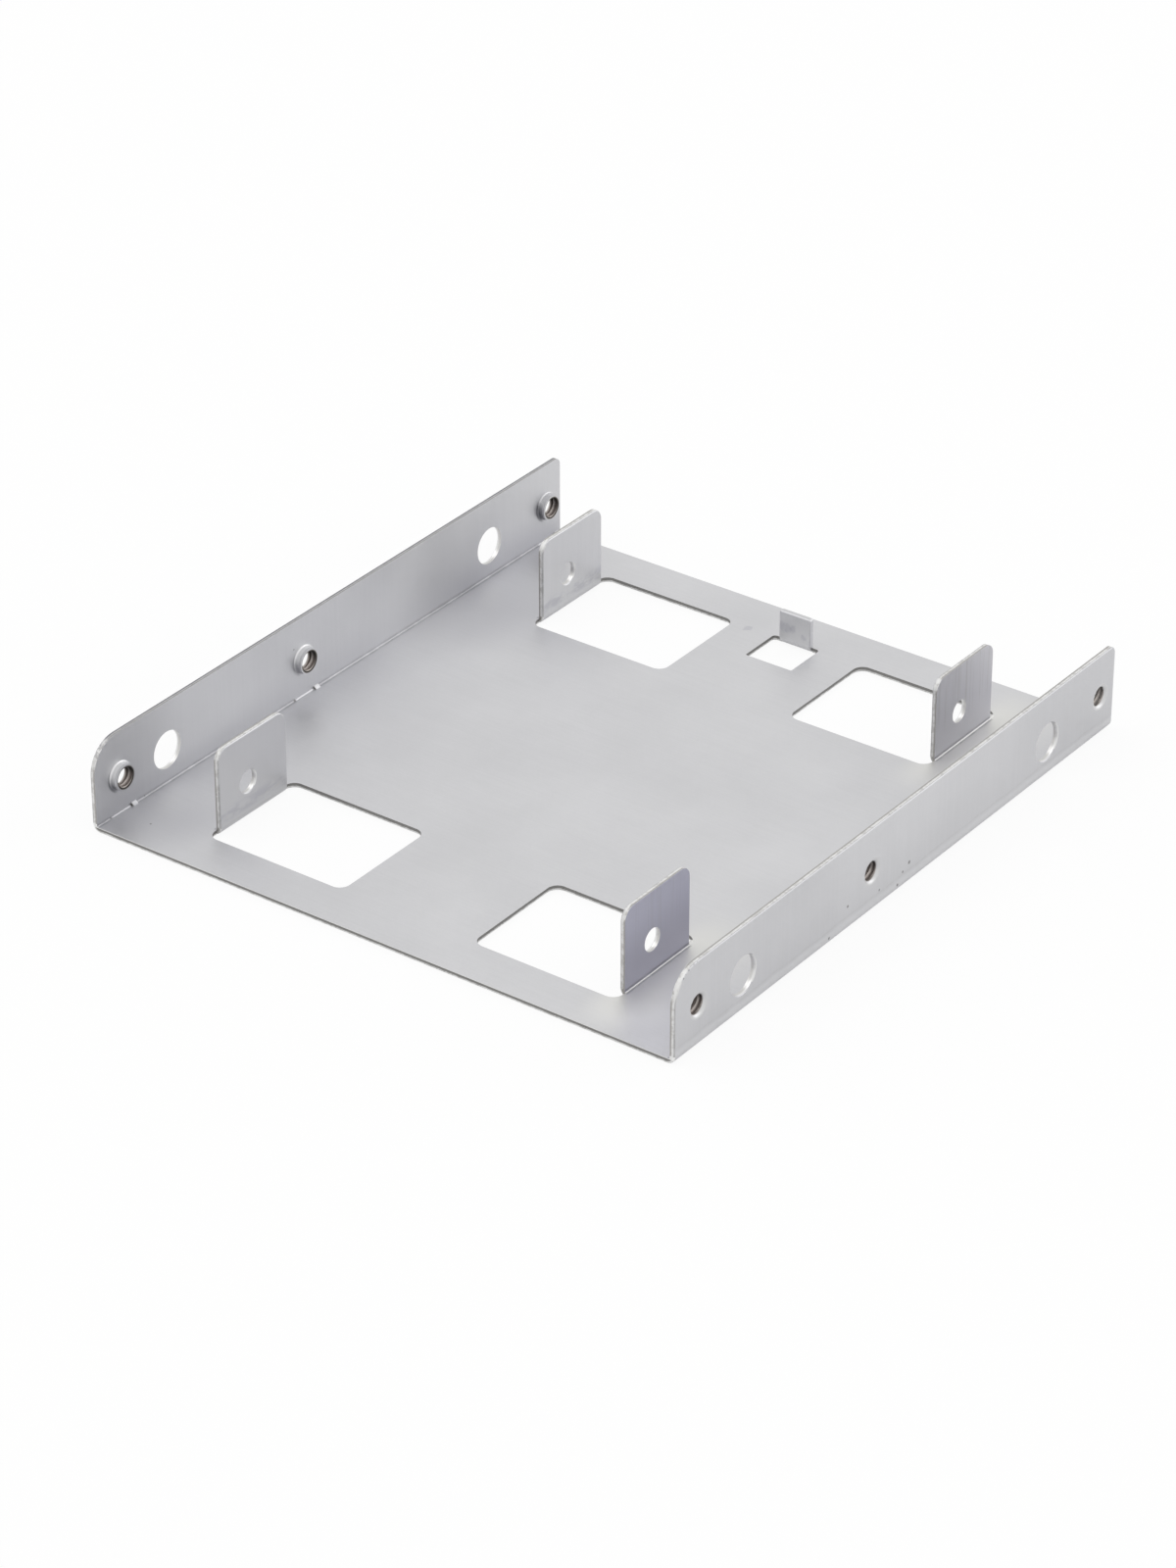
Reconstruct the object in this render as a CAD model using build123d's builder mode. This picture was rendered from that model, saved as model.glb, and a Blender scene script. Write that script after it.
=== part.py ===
"""A drive bay adapter bracket, folded from one sheet of galvanised steel.

The bracket holds a 2.5 inch drive between four upright tabs and fits a 3.5 inch bay by the
threaded holes in its two side flanges. X runs across the bracket, Y from its open front edge
to its rear edge and Z up, with the origin in the middle of the underside.
"""

import os

from build123d import *

os.makedirs("parts", exist_ok=True)

# Driving dimensions, in millimetres

# The sheet and its folds
sheet = 0.8                  # thickness
inner_bend = 0.25            # radius inside every fold
outer_bend = 1.3             # radius outside it, where folding draws the sheet a little thinner
edge_roll = 0.12             # what punching rolls off the edges of the outer skin

# The floor and its two side flanges
body_width = 101.6           # over both flanges
body_length = 110.6          # front edge to rear edge
flange_height = 13.9         # underside to the top edge of a flange
flange_front_corner = 5.0    # radius of a flange's upper front corner
flange_rear_corner = 1.2     # radius of a flange's upper rear corner

# The drawn and threaded holes of the flanges, which screw to the bay
thread_diameter = 3.5        # over the thread, for a 6-32 screw
thread_height = 6.8          # underside to the hole's centre
thread_front = 5.4           # front edge to the first hole
thread_middle_step = 41.6    # first hole to the middle one
thread_rear = 3.6            # last hole to the rear edge, which leaves 60.0 to the middle one
collar_reach = 1.1           # how far a collar stands off the flange's inner face
collar_root_wall = 0.4       # wall where the collar rises from its flare
collar_rim_wall = 0.3        # wall at the collar's rim
collar_flare = 0.15          # flare between the collar and the flange
entry_round = 0.4            # radius of the drawn entry on the flange's outer face

# The four tabs that hold the drive
drive_gap = 70.0             # between the facing tabs
tab_length = 15.0
tab_height = 13.9            # underside to the tab's top edge
tab_corner = 2.0             # radius of the tab's upper corners
tab_hole_diameter = 3.6      # clearance for an M3 screw
tab_hole_height = 6.1        # underside to the hole's centre
tab_hole_front = 15.8        # front edge of the sheet to the first pair of holes
tab_hole_rear = 18.2         # second pair to the rear edge, which leaves 76.6 between them
tab_hole_lead = 6.35         # front end of a tab to its hole
access_diameter = 6.0        # holes in the flanges, for the driver, in line with the tab holes

# The windows that the tabs were cut from
window_slot = 2.05           # between an end of a tab and the window's end
window_corner = 1.7
bridge_width = 22.8          # strip of floor between the left windows and the right ones

# The stop at the rear and its window
stop_rear = 8.2              # the stop's face to the rear edge of the sheet
stop_width = 5.6
stop_height = 5.8            # underside to the stop's top edge
stop_corner = 0.4            # radius of the stop's upper corners
stop_slot = 1.35             # between a side of the stop and the window's side
stop_reach = 6.9             # window in front of the stop's face
stop_relief = 0.7            # window behind the stop's face, beside its fold
stop_window_front_corner = 0.25
stop_window_rear_corner = 0.6

# Worked out from the driving dimensions
rear = body_length / 2
front = -rear
flange_face = body_width / 2
flange_inside = flange_face - sheet
thread_radius = thread_diameter / 2
thread_rows = [
    front + thread_front,
    front + thread_front + thread_middle_step,
    rear - thread_rear,
]
collar_root = thread_radius + collar_root_wall
collar_rim = thread_radius + collar_rim_wall
rim_face = flange_inside - collar_reach
tab_hole_rows = [front + tab_hole_front, rear - tab_hole_rear]
tab_starts = [row - tab_hole_lead for row in tab_hole_rows]
tab_face = drive_gap / 2
tab_back = tab_face + sheet
fold_line = tab_face + outer_bend
window_width = tab_back - bridge_width / 2
window_length = tab_length + 2 * window_slot
window_middle = (tab_back + bridge_width / 2) / 2
stop_y = rear - stop_rear
stop_fold_line = stop_y + outer_bend


def cut_edges(skin):
    """Edges that only one face of the skin owns: where the sheet was cut."""
    edges = [edge for face in skin for edge in face.edges()]
    return ShapeList(e for e in edges if sum(e.is_same(other) for other in edges) == 1)


def outer_folds(part):
    """The cylinders that the outer skin makes round the part's folds."""
    cylinders = part.faces().filter_by(GeomType.CYLINDER)
    return cylinders.filter_by(lambda face: abs(face.radius - outer_bend) < 1e-6)


def is_entry(edge):
    """Whether a circle is the rim of a threaded hole in a flange's outer face."""
    at_face = abs(abs(edge.arc_center.X) - flange_face) < 1e-6
    return at_face and abs(edge.radius - thread_radius) < 1e-6


# One tab, at the right of the middle: it folds up out of the floor and faces the middle. Its
# root runs on past the fold into the floor, by one thickness.
with BuildPart() as tab:
    with BuildSketch(Plane.XZ):
        with BuildLine():
            FilletPolyline(
                (fold_line + sheet, 0),
                (tab_face, 0),
                (tab_face, tab_height),
                radius=outer_bend,
            )
            FilletPolyline(
                (fold_line + sheet, sheet),
                (tab_back, sheet),
                (tab_back, tab_height),
                radius=inner_bend,
            )
            Line((fold_line + sheet, 0), (fold_line + sheet, sheet))
            Line((tab_face, tab_height), (tab_back, tab_height))
        make_face()
    extrude(amount=-tab_length)
    fillet(tab.edges().filter_by(Axis.X).group_by(Axis.Z)[-1], radius=tab_corner)
    with BuildSketch(Plane.YZ.offset(tab_face)):
        with Locations((tab_hole_lead, tab_hole_height)):
            Circle(tab_hole_diameter / 2)
    extrude(amount=sheet, mode=Mode.SUBTRACT)

    # Rolled edges round the outer skin, as far as the fold; the root stays square
    skin = tab.faces().sort_by(Axis.X)[:1] + tab.faces().sort_by(Axis.Z)[:1] + outer_folds(tab)
    chamfer(cut_edges(skin).sort_by(Axis.X)[:-1], length=edge_roll)
    with BuildSketch(Plane.XY):
        with Locations((fold_line, 0)):
            Rectangle(sheet, tab_length, align=(Align.MIN, Align.MIN))
    extrude(amount=sheet)

# The stop, which folds up out of the floor behind it and faces the front
with BuildPart() as stop:
    with BuildSketch(Plane.YZ):
        with BuildLine():
            FilletPolyline(
                (stop_fold_line + sheet, 0),
                (stop_y, 0),
                (stop_y, stop_height),
                radius=outer_bend,
            )
            FilletPolyline(
                (stop_fold_line + sheet, sheet),
                (stop_y + sheet, sheet),
                (stop_y + sheet, stop_height),
                radius=inner_bend,
            )
            Line((stop_fold_line + sheet, 0), (stop_fold_line + sheet, sheet))
            Line((stop_y, stop_height), (stop_y + sheet, stop_height))
        make_face()
    extrude(amount=stop_width / 2, both=True)
    fillet(stop.edges().filter_by(Axis.Y).group_by(Axis.Z)[-1], radius=stop_corner)

    skin = stop.faces().sort_by(Axis.Y)[:1] + stop.faces().sort_by(Axis.Z)[:1] + outer_folds(stop)
    chamfer(cut_edges(skin).sort_by(Axis.Y)[:-1], length=edge_roll)
    with BuildSketch(Plane.XY):
        with Locations((0, stop_fold_line)):
            Rectangle(stop_width, sheet, align=(Align.CENTER, Align.MIN))
    extrude(amount=sheet)

# One collar, drawn inwards from the right flange: a tapered ring about its hole's axis, with a
# flare where it leaves the flange. It is still solid here, and is bored in its place.
with BuildPart() as collar:
    with BuildSketch(Plane.XZ):
        with BuildLine():
            Polyline(
                (flange_face - sheet / 2, 0),
                (flange_face - sheet / 2, collar_root + collar_flare),
                (flange_inside, collar_root + collar_flare),
                (flange_inside - collar_flare, collar_root),
                (rim_face, collar_rim),
                (rim_face, 0),
                close=True,
            )
        make_face()
    revolve(axis=Axis.X)

with BuildPart() as bracket:
    # The floor with both flanges: one folded section carried along the length
    with BuildSketch(Plane.XZ.offset(-front)):
        with BuildLine():
            FilletPolyline(
                (-flange_face, flange_height),
                (-flange_face, 0),
                (flange_face, 0),
                (flange_face, flange_height),
                radius=outer_bend,
            )
            FilletPolyline(
                (-flange_inside, flange_height),
                (-flange_inside, sheet),
                (flange_inside, sheet),
                (flange_inside, flange_height),
                radius=inner_bend,
            )
            for side in (-1, 1):
                Line((side * flange_face, flange_height), (side * flange_inside, flange_height))
        make_face()
    extrude(amount=-body_length)

    # Rounded upper corners of the flanges
    corners = bracket.edges().filter_by(Axis.X).group_by(Axis.Z)[-1]
    fillet(corners.group_by(Axis.Y)[0], radius=flange_front_corner)
    corners = bracket.edges().filter_by(Axis.X).group_by(Axis.Z)[-1]
    fillet(corners.group_by(Axis.Y)[-1], radius=flange_rear_corner)

    # Four windows, each as long as its tab and a slot at either end of it
    with BuildSketch(Plane.XY):
        for side in (-1, 1):
            for start in tab_starts:
                with Locations((side * window_middle, start + tab_length / 2)):
                    RectangleRounded(window_width, window_length, window_corner)
    extrude(amount=sheet, mode=Mode.SUBTRACT)

    # The window of the stop
    with BuildSketch(Plane.XY) as stop_window:
        with Locations((0, stop_y - stop_reach)):
            Rectangle(
                stop_width + 2 * stop_slot,
                stop_reach + stop_relief,
                align=(Align.CENTER, Align.MIN),
            )
        fillet(stop_window.vertices().group_by(Axis.Y)[0], radius=stop_window_front_corner)
        fillet(stop_window.vertices().group_by(Axis.Y)[-1], radius=stop_window_rear_corner)
    extrude(amount=sheet, mode=Mode.SUBTRACT)

    # Access holes through both flanges
    for skin_face in (-flange_face, flange_inside):
        with BuildSketch(Plane.YZ.offset(skin_face)):
            for row in tab_hole_rows:
                with Locations((row, tab_hole_height)):
                    Circle(access_diameter / 2)
        extrude(amount=sheet, mode=Mode.SUBTRACT)

    # Rolled edges all round the outer skin
    skin = bracket.faces().sort_by(Axis.Z)[:1] + outer_folds(bracket)
    skin += bracket.faces().sort_by(Axis.X)[:1] + bracket.faces().sort_by(Axis.X)[-1:]
    chamfer(cut_edges(skin), length=edge_roll)

    # Each tab takes up the floor between its window and its fold
    with BuildSketch(Plane.XY):
        for side in (-1, 1):
            for start in tab_starts:
                with Locations((side * (tab_back + fold_line) / 2, start + tab_length / 2)):
                    Rectangle(fold_line - tab_back, tab_length)
    extrude(amount=sheet, mode=Mode.SUBTRACT)
    for start in tab_starts:
        with Locations((0, start)):
            add(tab.part)
            add(tab.part.mirror(Plane.YZ))

    # The stop takes up the floor between its window and its fold
    with BuildSketch(Plane.XY):
        with Locations((0, stop_y)):
            Rectangle(stop_width, outer_bend, align=(Align.CENTER, Align.MIN))
    extrude(amount=sheet, mode=Mode.SUBTRACT)
    add(stop.part)

    # Six collars, bored for the thread, each with a drawn entry
    for row in thread_rows:
        with Locations((0, row, thread_height)):
            add(collar.part)
            add(collar.part.mirror(Plane.YZ))
    for bore_end in (-flange_face, rim_face):
        with BuildSketch(Plane.YZ.offset(bore_end)):
            for row in thread_rows:
                with Locations((row, thread_height)):
                    Circle(thread_radius)
        extrude(amount=sheet + collar_reach, mode=Mode.SUBTRACT)
    entries = bracket.edges().filter_by(GeomType.CIRCLE).filter_by(is_entry)
    fillet(entries, radius=entry_round)

bracket.part.label = "bracket"
export_step(bracket.part, "parts/bracket.step")
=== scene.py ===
"""A drive bay adapter bracket, dressed as satin galvanised sheet steel.

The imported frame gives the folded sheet. This script gives it the finish of plated steel, cuts the
fine threads of its drawn collars, adds the folding tool's marks and the torn curls in its corners,
and sets it on a plain pale floor. X runs across the bracket, Y from its open front edge to its rear
edge and Z up. Sizes are in millimetres and are turned into metres in each mesh.
"""

import logging
import math
from dataclasses import dataclass, field
from enum import Enum
from functools import partial, reduce
from typing import Mapping, Sequence

import bpy
import numpy as np
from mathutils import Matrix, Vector


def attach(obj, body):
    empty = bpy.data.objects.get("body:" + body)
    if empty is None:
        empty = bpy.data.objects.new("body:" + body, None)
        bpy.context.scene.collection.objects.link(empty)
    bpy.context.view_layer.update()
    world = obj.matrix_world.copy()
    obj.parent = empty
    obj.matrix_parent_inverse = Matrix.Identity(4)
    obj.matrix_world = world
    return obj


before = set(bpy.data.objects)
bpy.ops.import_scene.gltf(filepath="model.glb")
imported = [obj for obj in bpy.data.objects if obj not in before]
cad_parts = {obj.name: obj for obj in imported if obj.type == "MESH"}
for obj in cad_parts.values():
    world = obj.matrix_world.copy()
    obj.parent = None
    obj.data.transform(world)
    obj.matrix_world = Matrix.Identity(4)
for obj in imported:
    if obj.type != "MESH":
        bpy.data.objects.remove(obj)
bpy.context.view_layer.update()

log = logging.getLogger("drive_bay_bracket")

MM = 0.001
BODY = "root"

# Sizes of the folded sheet, as the frame has them
SHEET = 0.8
OUTER_BEND = 1.3
INNER_BEND = 0.25
FRONT = -55.3
FLANGE_FACE = 50.8
FLANGE_INSIDE = 50.0
RIM_FACE = 48.9
TAB_FACE = 35.0
TAB_BACK = TAB_FACE + SHEET
TAB_LENGTH = 15.0
TAB_LEAD = 1.15
THREAD_HEIGHT = 6.8
THREAD_RADIUS = 1.75
DRIVE_HOLE_ROWS = (-39.5, 37.1)
DRIVE_HOLE_HEIGHT = 6.1
DRIVE_HOLE_RADIUS = 1.8
ACCESS_RADIUS = 3.0

# How far the middle of a fold's inner round lies from each face that it joins
ROOT_HALF = math.sqrt(0.5)
CHORD_INSET = INNER_BEND * (1 - ROOT_HALF)

HAIR = 0.05  # room left at a face where a pattern looks for it

Material = bpy.types.Material
Node = bpy.types.Node
Socket = bpy.types.NodeSocket
Colour = tuple[float, float, float]
Point = tuple[float, float, float]
Span = tuple[float, float]
Spot = tuple[float, float, float, float]


class Side(Enum):
    """The two flanges, by the sign of X."""

    LEFT = -1
    RIGHT = 1


class ThreadRow(Enum):
    """The three threaded holes along a flange, by their place on Y."""

    FRONT = -49.9
    MIDDLE = -8.3
    REAR = 51.7


THREAD_ROWS = tuple(row.value for row in ThreadRow)


@dataclass(frozen=True)
class Graph:
    """A short way to write a node tree: each call adds nodes and returns an output."""

    tree: bpy.types.NodeTree

    def put(self, socket: Socket, value: object) -> None:
        """Links an output to an input, or writes a value or a linear colour in it."""
        if isinstance(value, Socket):
            self.tree.links.new(value, socket)
        elif socket.type == "RGBA":
            socket.default_value = (*value, 1.0)
        else:
            socket.default_value = value

    def node(
        self, kind: str, inputs: Mapping[object, object] | None = None, **settings: object
    ) -> Node:
        """Adds a node and sets it up.

        Args:
            kind: The node's type name.
            inputs: Values or outputs, by the input's name or number.
            settings: Properties of the node, by name.

        Returns:
            The new node.
        """
        made = self.tree.nodes.new(kind)
        for name, value in settings.items():
            setattr(made, name, value)
        for key, value in (inputs or {}).items():
            self.put(made.inputs[key], value)
        return made

    def math(self, operation: str, *values: object) -> Socket:
        """Adds a Math node on one to three numbers or outputs."""
        return self.node("ShaderNodeMath", dict(enumerate(values)), operation=operation).outputs[0]

    def times(self, *values: object) -> object:
        """Multiplies values with each other."""
        return reduce(partial(self.math, "MULTIPLY"), values)

    def most(self, *values: object) -> object:
        """Gives the largest of some values."""
        return reduce(partial(self.math, "MAXIMUM"), values)

    def scaled(self, value: object, weight: object, rest: object) -> Socket:
        """Adds a value times its weight to the rest."""
        return self.math("MULTIPLY_ADD", value, weight, rest)

    def minus(self, value: object, other: object) -> Socket:
        """Takes another value from a value."""
        return self.math("SUBTRACT", value, other)

    def inverse(self, share: object) -> Socket:
        """Gives what a share leaves of one."""
        return self.minus(1.0, share)

    def above(self, value: object, limit: float) -> Socket:
        """Gives one above a limit, and else zero."""
        return self.math("GREATER_THAN", value, limit)

    def below(self, value: object, limit: float) -> Socket:
        """Gives one below a limit, and else zero."""
        return self.math("LESS_THAN", value, limit)

    def between(self, value: object, low: float, high: float) -> object:
        """Gives one between two limits, and else zero."""
        return self.times(self.above(value, low), self.below(value, high))

    def offset(self, value: object, middle: float) -> Socket:
        """Gives how far a value lies from a middle, on either side."""
        return self.math("ABSOLUTE", self.minus(value, middle))

    def ramp(
        self, value: object, start: float, end: float, low: float = 0.0, high: float = 1.0
    ) -> Socket:
        """Carries a value smoothly from one range to another and holds it there.

        Args:
            value: The input.
            start: Input at which the result is low.
            end: Input at which the result is high. It may lie below start.
            low: Result up to start.
            high: Result from end on.

        Returns:
            The result.
        """
        if start > end:
            start, end, low, high = end, start, high, low
        inputs = {"Value": value, "From Min": start, "From Max": end, "To Min": low, "To Max": high}
        made = self.node("ShaderNodeMapRange", inputs, interpolation_type="SMOOTHSTEP")
        return made.outputs["Result"]

    def stretched(self, vector: object, scale: Point) -> Socket:
        """Scales a vector by a number for each axis."""
        return self.node("ShaderNodeMapping", {"Vector": vector, "Scale": scale}).outputs[0]

    def mix(self, share: object, first: object, second: object) -> Socket:
        """Mixes two colours by the share of the second."""
        inputs = {0: share, 6: first, 7: second}
        return self.node("ShaderNodeMix", inputs, data_type="RGBA").outputs[2]

    def weighted(self, middle: float, *terms: tuple[float, object]) -> object:
        """Adds each term's weight times its distance from one half to a middle value.

        Args:
            middle: The result where all terms are one half.
            terms: The weights and the outputs they weigh.

        Returns:
            The sum.
        """
        total: object = middle - sum(weight for weight, _ in terms) / 2
        for weight, term in terms:
            total = self.scaled(term, weight, total)
        return total

    def metal(
        self, shader: Node, colour: object, rough: object, relief: object, depth: float, seen: float
    ) -> None:
        """Makes a shader a metal with a fine relief.

        Args:
            shader: The Principled shader.
            colour: The metal's colour.
            rough: Its roughness.
            relief: The height of its relief, from zero to about one.
            depth: The relief's depth in metres.
            seen: How much of the relief is seen.
        """
        inputs = {"Height": relief, "Distance": depth, "Strength": seen}
        normal = self.node("ShaderNodeBump", inputs).outputs[0]
        names = ("Base Color", "Metallic", "Roughness", "Normal")
        for name, value in zip(names, (colour, 1.0, rough, normal)):
            self.put(shader.inputs[name], value)


@dataclass(frozen=True)
class Reading(Graph):
    """A graph and what its patterns read at a point.

    The place and its parts are in millimetres, wide is the distance from the middle plane, and
    each facing is how squarely the surface faces that axis.
    """

    place: object
    x: object
    y: object
    z: object
    wide: object
    facing_x: object
    facing_y: object
    facing_z: object

    def away(self, point: Point) -> Socket:
        """Gives the distance from a point of the object, in millimetres."""
        inputs = {0: self.place, 1: point}
        return self.node("ShaderNodeVectorMath", inputs, operation="DISTANCE").outputs["Value"]

    def noise(self, scale: float | Point, detail: float = 2.0, rough: float = 0.5) -> Socket:
        """Adds a Noise Texture.

        Args:
            scale: Its scale per millimetre, or one for each axis.
            detail: Its finer octaves.
            rough: How strong they are.

        Returns:
            Its factor, which lies about one half.
        """
        place: object = self.place
        if isinstance(scale, tuple):
            place, scale = self.stretched(place, scale), 1.0
        inputs = {"Vector": place, "Scale": scale, "Detail": detail, "Roughness": rough}
        return self.node("ShaderNodeTexNoise", inputs).outputs[0]

    def nearest(self, value: object, rows: Sequence[float]) -> object:
        """Gives how far a value lies from the nearest of some rows."""
        return reduce(partial(self.math, "MINIMUM"), [self.offset(value, row) for row in rows])

    def hole_distance(self, rows: Sequence[float], height: float) -> object:
        """Gives how far the point lies from the nearest of some axes that run across."""
        along, rise = self.nearest(self.y, rows), self.minus(self.z, height)
        return self.math("SQRT", self.scaled(along, along, self.times(rise, rise)))


def new_finish(name: str) -> tuple[Material, Reading, Node, Node]:
    """Starts a material whose patterns read Object coordinates.

    Args:
        name: The material's name.

    Returns:
        The material, its reading of a point, its Principled shader and its output node.
    """
    material = bpy.data.materials.new(name)
    material.use_nodes = True
    tree = material.node_tree
    tree.nodes.clear()
    graph = Graph(tree)
    shader = graph.node("ShaderNodeBsdfPrincipled")
    output = graph.node("ShaderNodeOutputMaterial", {"Surface": shader.outputs[0]})
    coordinates = graph.node("ShaderNodeTexCoord").outputs
    place = graph.stretched(coordinates["Object"], (1 / MM, 1 / MM, 1 / MM))
    x, y, z = graph.node("ShaderNodeSeparateXYZ", {0: place}).outputs
    facing = graph.node("ShaderNodeSeparateXYZ", {0: coordinates["Normal"]}).outputs
    wide, *turned = (graph.math("ABSOLUTE", part) for part in (x, *facing))
    return material, Reading(tree, place, x, y, z, wide, *turned), shader, output


@dataclass(frozen=True)
class GalvanisedSteel:
    """The finish of the sheet: satin zinc, with cut edges, die lines, stains and small pits.

    Every pattern reads Object coordinates in millimetres, so it keeps its real size. The cut
    edges are found by the way they face and by their depth from the outer skin. A share is how
    much of a colour is laid on. A pit or a smudge is x, y, z and its radius, and a place on the
    floor is x, y, its radius and its share.
    """

    light: Colour = (0.660, 0.661, 0.680)
    dark: Colour = (0.580, 0.581, 0.600)
    worn: Colour = (0.72, 0.72, 0.735)
    burnish: Colour = (0.76, 0.76, 0.76)
    dull: Colour = (0.60, 0.595, 0.59)
    stain: Colour = (0.42, 0.42, 0.47)
    # Painted shade beside the flanges' folds and on the floor by the left tabs
    painted_shade: Colour = (0.43, 0.43, 0.47)
    # Painted shade on the front tabs' facing sides and the flanges' outer ends
    dim_shade: Colour = (0.50, 0.50, 0.52)
    # Painted light on the floor beside the right tabs
    channel_light: Colour = (0.692, 0.690, 0.680)
    # Painted light on the left flange, the floor, the flanges' outer middle and the collars' tops
    painted_light: Colour = (0.82, 0.82, 0.83)
    # Painted shade with a bluish tint on the right tabs' flange sides, darker and paler ends
    front_blue_shade: tuple[Colour, Colour] = ((0.495, 0.49, 0.60), (0.72, 0.72, 0.85))
    rear_blue_shade: tuple[Colour, Colour] = ((0.565, 0.56, 0.605), (0.62, 0.615, 0.655))
    fracture: Colour = (0.42, 0.41, 0.40)
    # Darker torn steel of the floor's front edge and windows, with painted shade in the windows
    dark_fracture_and_shade: Colour = (0.27, 0.265, 0.26)
    # Reamed hole walls, and a painted highlight on cut faces turned forward and up
    reamed_and_highlight: Colour = (0.74, 0.74, 0.74)
    # Painted highlight line on the floor's front edge
    front_edge_highlight: Colour = (0.93, 0.93, 0.93)
    # Painted shade in creases, at collar feet and on the left edges; real nicks on the bevel
    nicks_and_shade: Colour = (0.25, 0.25, 0.27)
    # Steel inside the collars' bores, partly its own colour and partly painted shade
    bore: Colour = (0.33, 0.31, 0.29)
    pit: Colour = (0.16, 0.15, 0.15)
    roughness: float = 0.49
    mottle_roughness: float = 0.12
    grain_roughness: float = 0.06
    cut_roughness: float = 0.14
    reamed_roughness: float = -0.27
    grain_height: float = 0.000012
    grain_strength: float = 0.5
    die_line_height: float = 2.55
    die_line_width: float = 0.28
    die_line_wobble: float = 0.6
    tab_line_share: float = 0.10
    flange_line_share: float = 0.17
    stain_share: float = 0.5
    worn_share: float = 0.4
    blue_shade_share: float = 0.8
    # Shares of painted shade on the front tabs and the flanges' outer ends
    front_tab_shade: float = 0.45
    flange_end_shade: float = 0.12
    # Shares of painted light on the flanges' outer middle and the front of the left wall
    flange_light: float = 0.11
    front_wall_light: float = 0.19
    border_share: float = 0.42
    front_edge_highlight_share: float = 0.8
    # Share of painted shade on the left flange's bevel
    left_bevel_shade: float = 0.75
    pit_share: float = 0.75
    smudge_share: float = 0.42
    collar_reach: float = 2.5
    collar_room: float = 4.0
    marked_span: Span = (-2.35, 3.25)
    stop_rows: Span = (46.9, 48.1)
    stop_half_width: float = 2.83
    pits: tuple[Spot, ...] = (
        (50.8, 1.1, 3.7, 0.30),
        (50.8, -0.5, 2.9, 0.24),
        (50.8, -1.8, 1.4, 0.26),
        (50.8, -6.4, 2.9, 0.22),
        (50.8, -18.8, 1.3, 0.24),
        (50.8, -14.3, 4.2, 0.26),
        (-44.45, -50.1, 0.8, 0.20),
        (-50.0, -10.5, 9.4, 0.16),
        (-49.93, -52.4, 0.9, 0.20),
        (-49.93, -47.9, 0.9, 0.17),
        (-49.93, -46.7, 1.0, 0.15),
        (-49.93, -44.9, 1.0, 0.15),
        (-49.93, -10.8, 0.9, 0.22),
        (-49.93, -6.0, 0.9, 0.16),
    )
    smudges: tuple[Spot, ...] = (
        (-2.3, 47.1, 3.1, 1.1),
        (-1.2, 47.1, 3.1, 1.0),
        (-0.2, 47.1, 3.2, 0.9),
        (1.67, 47.1, 2.47, 0.5),
        (-8.5, 47.1, 0.8, 0.6),
    )
    # Places on the floor: painted shade on the left, painted light on the right
    shaded_places: tuple[Spot, ...] = ((-41.5, 28.5, 15.0, 0.36), (-41.5, -47.0, 9.0, 0.34))
    lit_places: tuple[Spot, ...] = ((38.5, -48.8, 7.0, 0.9),)

    def depth(self, at: Reading, across: object) -> object:
        """Works out the depth below the outer skin of a fold, and of the flats beside it.

        The skin lies one bend radius from the quarter round's centre, so the depth is that
        radius less the distance to the centre, each part of it held at zero on the flats.

        Args:
            at: The point.
            across: Distance from the fold's centre towards its skin.

        Returns:
            The depth in millimetres.
        """
        side = at.most(across, 0.0)
        drop = at.most(at.minus(OUTER_BEND, at.z), 0.0)
        reach = at.math("SQRT", at.scaled(side, side, at.times(drop, drop)))
        return at.minus(OUTER_BEND, reach)

    def tab_gap(self, at: Reading) -> object:
        """Gives how far a point lies along Y from the middle of the nearest tab."""
        return at.nearest(at.y, [row + TAB_LEAD for row in DRIVE_HOLE_ROWS])

    def beside_tab(self, at: Reading) -> object:
        """Gives one on the tabs, their folds and the floor at their feet, and else zero."""
        along = at.below(self.tab_gap(at), TAB_LENGTH / 2 + HAIR)
        return at.times(along, at.between(at.wide, TAB_FACE - 0.1, TAB_FACE + 5.0))

    def zinc(self, at: Reading, mottle: object, grain: object) -> object:
        """Lays the plated skin: broad clouds, small mottling, rolling lines and a fine grain.

        Args:
            at: The point.
            mottle: The small mottling.
            grain: The fine grain.

        Returns:
            The skin's colour.
        """
        clouds, rolling = at.noise(0.045), at.noise((0.05, 2.6, 0.05))
        tone = at.weighted(0.5, (0.9, clouds), (0.35, mottle), (0.3, rolling), (0.4, grain))
        return at.mix(at.ramp(tone, 0.0, 1.0), self.dark, self.light)

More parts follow.
